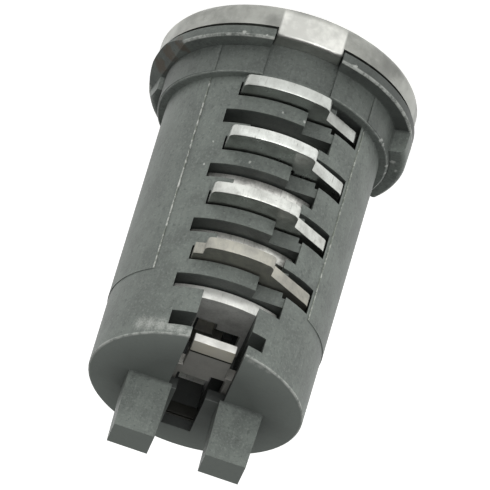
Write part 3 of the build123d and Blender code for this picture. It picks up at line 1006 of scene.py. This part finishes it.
@dataclass
class PhotoStand:
    """Camera, floor and lamps that stand as in the photograph."""

    roll: float = 16.7
    elevation: float = 30.0
    turn: float = 4.17
    scale_px: float = 16.15
    depth_mm: float = 700.0
    axis_u: float = 300.29
    face_v: float = -11.08
    aim_mm: float = 12.0
    paper_lamp: float = 0.30
    paper_seen: float = 0.74
    room: float = 0.49
    dark_room: float = 0.06

    def camera(self) -> None:
        """Place the scene's camera from where the plug's axis and face lie in the photograph."""
        el, turn, roll = (math.radians(a) for a in (self.elevation, self.turn, self.roll))
        out = Vector((math.sin(turn), -math.cos(turn), 0))
        across = Vector((-math.cos(turn), -math.sin(turn), 0))
        to_camera = out * math.cos(el) + Vector((0, 0, 1)) * math.sin(el)
        down = Vector((0, 0, 1)) * math.cos(el) - out * math.sin(el)
        right = across * math.cos(roll) - down * math.sin(roll)
        up = -(across * math.sin(roll) + down * math.cos(roll))
        middle = PHOTO_PX / 2
        centre_u = middle * (math.cos(roll) + math.sin(roll))
        centre_v = middle * (math.cos(roll) - math.sin(roll))
        offset = across * ((self.axis_u - centre_u) / self.scale_px)
        offset += down * ((self.face_v - centre_v) / self.scale_px)
        place = to_camera * self.depth_mm - offset
        data = bpy.data.cameras.new("camera")
        data.sensor_width = 36.0
        data.lens = self.scale_px * self.depth_mm / PHOTO_PX * data.sensor_width
        data.clip_start = 0.01
        data.clip_end = 10.0
        camera = bpy.data.objects.new("camera", data)
        bpy.context.scene.collection.objects.link(camera)
        turned = Matrix((right, up, to_camera)).transposed()
        camera.matrix_world = Matrix.Translation(place * MM) @ turned.to_4x4()
        bpy.context.scene.camera = camera

    def floor(self) -> None:
        """Lay the pale floor, which the camera sees as white outside the shadow."""
        deselect_all()
        bpy.ops.mesh.primitive_plane_add(size=6.0, location=(0, 0, 0))
        floor = bpy.context.object
        floor.name = "floor"
        s = Shading("floor_paper")
        path = s.add("LightPath")
        eye, mirror = path.outputs["Is Camera Ray"], path.outputs["Is Glossy Ray"]
        seen = s.add("Math", {0: eye, 1: mirror}, operation="MAXIMUM")
        # The paper glows fully to the eye and in the metal, and less as a lamp.
        glow = s.add("MapRange", {"Value": seen, "To Min": self.paper_lamp, "To Max": self.paper_seen})
        dress(
            floor,
            s.finish(
                Base_Color="#e8e8e6",
                Roughness=1.0,
                Specular_IOR_Level=0.0,
                Emission_Color="#ffffff",
                Emission_Strength=glow,
            ),
        )

    def lamp(self, name: str, angle: float, height: float, away: float, size: float, watts: float) -> None:
        """Hang one square soft lamp that faces the plug.

        Args:
            name: name of the lamp.
            angle: direction from the plug's axis in degrees.
            height: degrees above the floor.
            away: distance in mm.
            size: side of the lamp in mm.
            watts: power.
        """
        data = bpy.data.lights.new(name, "AREA")
        data.shape = "SQUARE"
        data.size = size * MM
        data.energy = watts
        lamp = bpy.data.objects.new(name, data)
        bpy.context.scene.collection.objects.link(lamp)
        a, h = math.radians(angle), math.radians(height)
        aim = Vector((math.cos(a) * math.cos(h), math.sin(a) * math.cos(h), math.sin(h)))
        lamp.location = aim * away * MM + Vector((0, 0, self.aim_mm * MM))
        lamp.rotation_euler = aim.to_track_quat("Z", "Y").to_euler()

    def light(self) -> None:
        """Set the lamps and the pale room."""
        self.lamp("front_softbox", 266, 10, 300, 220, 0.50)
        self.lamp("left_softbox", 345, 12, 320, 220, 0.15)
        self.lamp("right_softbox", 192, 12, 320, 220, 0.18)
        world = bpy.data.worlds.new("room")
        world.use_nodes = True
        world.node_tree.nodes.clear()
        # Metal mirrors the dark end of the room, and the rest is lit by its pale walls.
        mirrored = add_node(world.node_tree, "LightPath").outputs["Is Glossy Ray"]
        levels = {"Value": mirrored, "To Min": self.room, "To Max": self.dark_room}
        strength = add_node(world.node_tree, "MapRange", levels)
        shade = add_node(world.node_tree, "Background", {"Color": "#ffffff", "Strength": strength})
        add_node(world.node_tree, "OutputWorld", {"Surface": shade})
        bpy.context.scene.world = world
        bpy.context.scene.view_settings.view_transform = "Standard"


# ---------------------------------------------------------------- assembly

# Bright specks and scrapes that the photograph shows on the casting.
SCRAPES = (
    Spot(298.7, 2.53, 8.41, 0.15),
    Spot(288.7, 2.59, 8.41, 0.10),
    Spot(248.6, 2.61, 8.41, 0.22),
    Spot(190.6, 4.35, 7.62, 0.20),
    Spot(183.5, 4.35, 7.90, 0.16),
    Spot(304.2, 9.57, 6.76, 0.09),
    Spot(305.5, 11.24, 6.76, 0.10),
    Spot(281.6, 10.72, 6.76, 0.11),
    Spot(272.6, 6.70, 6.76, 0.09),
    Spot(260.2, 6.80, 6.76, 0.11),
    Spot(332.9, 23.60, 1.35, 0.16),
    Spot(212.4, 4.70, 7.36, 0.22),
    Spot(208.5, 4.70, 7.36, 0.18),
    Spot(204.5, 4.72, 7.36, 0.12),
    Spot(190.0, 4.70, 7.36, 0.20),
    Spot(183.0, 4.72, 7.36, 0.20),
)

# Trimming left the tail's edge rough on its left front; the spots on its right front paint the highlight of
# its round edge.
TAIL_RUBS_AND_GLINT = (
    Spot(286.0, 23.3, 6.70, 0.40),
    Spot(291.0, 23.2, 6.70, 0.50),
    Spot(296.5, 23.1, 6.70, 0.60),
    Spot(302.5, 23.0, 6.70, 0.70),
    Spot(309.0, 22.9, 6.70, 0.70),
    Spot(315.0, 22.8, 6.70, 0.60),
    Spot(262.0, 23.60, 6.55, 0.32),
    Spot(256.0, 23.60, 6.50, 0.36),
    Spot(250.0, 23.60, 6.50, 0.40),
    Spot(244.0, 23.60, 6.50, 0.36),
    Spot(238.0, 23.60, 6.55, 0.30),
)

# Outer edges of the rim, the tail and the collar, bright in chipped bands of knocks and painted highlight.
EDGE_RINGS = (EdgeRing(8.38, 2.72, 0.16), EdgeRing(6.74, 23.58, 0.13), EdgeRing(7.33, 4.70, 0.06))

# Heights of the rim's lower edge and the tail's edge, made brighter as painted highlight.
KNOCKED_AND_HIGHLIGHT_MM = (2.72, 23.55)

# Angle of each flash ridge, its bare metal, and the heights where it was knocked bright.
FLASH_LOOKS = (
    (317.3, "#bcbeb9", (11.55, 11.80, 12.45, 12.70, 14.40, 15.20)),
    (222.9, "#a0a39d", (7.30, 16.60)),
)

# Painted shade on the cap beside its tab.
CAP_SHADE_SPOTS = (
    Spot(252.0, 1.2, 8.23, 0.90),
    Spot(246.0, 1.0, 8.23, 1.10),
    Spot(240.0, 0.9, 8.23, 1.10),
    Spot(233.0, 0.8, 8.23, 1.00),
    Spot(226.0, 0.7, 8.23, 0.80),
)

# The trimmed flat of the rim was left brown and streaky.
STAINS = (
    Spot(346.0, 2.45, 8.0, 0.75),
    Spot(358.0, 2.45, 8.0, 0.75),
    Spot(334.0, 2.45, 8.0, 0.60),
)


@dataclass(frozen=True)
class PlateLook:
    """How one wafer differs from its neighbours."""

    base: str
    wear: float
    rough: float
    metal: float = 1.0


# Wafers 1 to 8, from the head to the tail; their bases are set to how bright each wafer looks, so they are
# partly painted light and shade.
PLATE_LOOKS = (
    PlateLook("#bfc2be", 0.45, 0.30),
    PlateLook("#c1c4bf", 0.55, 0.34),
    PlateLook("#d3d6d2", 0.50, 0.30),
    PlateLook("#e4e4df", 0.80, 0.40, 0.8),
    PlateLook("#d2d4cf", 0.55, 0.32),
    PlateLook("#e6e6e0", 0.80, 0.40, 0.8),
    PlateLook("#a9a79d", 0.70, 0.44, 0.9),
    PlateLook("#dcddd8", 0.40, 0.38, 0.4),
)


@dataclass
class LockPlug:
    """The whole plug, built sub-assembly by sub-assembly."""

    def casting(self) -> None:
        """Dress the die casting and lay its parting flash."""
        piece = WorkedCopy("plug_body", "casting", "plug", Slot.ZINC, edge_mm=0.07).build()
        skin = ZincCasting(rings=EDGE_RINGS, scrapes=SCRAPES, rubs_and_glint=TAIL_RUBS_AND_GLINT, stains=STAINS).build()
        edge = EdgeWearAndHighlight("zinc_edge", bare="#a4a7a2", skin="#6a706b", share=0.5, bright_heights=KNOCKED_AND_HIGHLIGHT_MM).build()
        dress(piece, skin, edge)
        report_piece(piece)
        for number, (angle, bare, bright_heights) in enumerate(FLASH_LOOKS, 1):
            low_z = COLLAR_Z + FLASH_START
            ridge = PartingFlash(f"parting_flash_{number}", angle, BARREL_R, low_z, SHOE_END_Z).build()
            flash = EdgeWearAndHighlight(f"flash_edge_{number}", bare=bare, skin="#72776f", share=0.45, bright_heights=bright_heights)
            dress(ridge, flash.build())
            report_piece(ridge)

    def cap(self) -> None:
        """Dress the pressed cap."""
        piece = WorkedCopy("face_cap", "cap_shell", "plug", Slot.STAINLESS, edge_mm=0.06).build()
        skin = PressedStainless(tab_half_mm=TAB_HALF, shade_spots=CAP_SHADE_SPOTS).build()
        edge = EdgeWearAndHighlight("cap_edge", bare="#d8d8d4", skin="#a5a5a2", share=0.6).build()
        dress(piece, skin, edge)
        report_piece(piece)

    def wafers(self) -> None:
        """Dress the wafers and wind their springs."""
        wire = DrawnWire().build()
        edge = EdgeWearAndHighlight("plate_edge", bare="#f0f0ec", skin="#bdbdb9", share=0.6, chip_mm=0.35).build()
        for number, look in enumerate(PLATE_LOOKS, 1):
            name = f"wafer_{number}"
            piece = WorkedCopy(name, f"wafer_plate_{number}", name, Slot.PLATE, edge_mm=0.06).build()
            plate = NickelPlate(
                f"nickel_plate_{number}", look.base, wear=look.wear, rough=look.rough, metal=look.metal
            )
            dress(piece, plate.build(), edge)
            report_piece(piece)
            spring = CoilSpring(
                f"wafer_spring_{number}",
                f"wafer_coil_{number}",
                f"wafer_{number}_slide",
                1 if number % 2 == 0 else -1,
                REST_LIFT_MM[number - 1] + EXTRA_TRAVEL_MM,
            ).build()
            dress(spring, wire)
            report_piece(spring)
        piece = WorkedCopy("retainer_wafer", "retainer_plate", "retainer", Slot.PLATE, edge_mm=0.06).build()
        plate = NickelPlate(
            "nickel_plate_retainer",
            "#a2a19b",
            wear=0.5,
            rough=0.42,
            metal=0.5,
            window_shade_mm=KEYWAY_BACK,
            bevel_mm=BEVEL_FOOT,
        )
        dress(piece, plate.build(), edge)
        report_piece(piece)
        travel = RETAINER_TRAVEL_MM
        spring = CoilSpring("retainer_spring", "retainer_coil", "retainer_slide", 1, travel).build()
        dress(spring, wire)
        report_piece(spring)

    def shutter(self) -> None:
        """Dress the dust shutter and its pin, and wind its spring."""
        dress(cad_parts["dust_shutter"], PressedStainless("shutter_stainless").build())
        dress(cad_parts["shutter_pin"], DrawnWire("shutter_pin_wire").build())
        wire = DrawnWire("shutter_spring_wire").build()
        for piece in TorsionSpring().build():
            dress(piece, wire)
            report_piece(piece)


def main() -> None:
    """Build the scene in order."""
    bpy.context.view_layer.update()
    stand = PhotoStand()
    stand.camera()
    stand.floor()
    stand.light()
    plug = LockPlug()
    plug.casting()
    plug.cap()
    plug.wafers()
    plug.shutter()


if __name__ == "__main__":
    main()
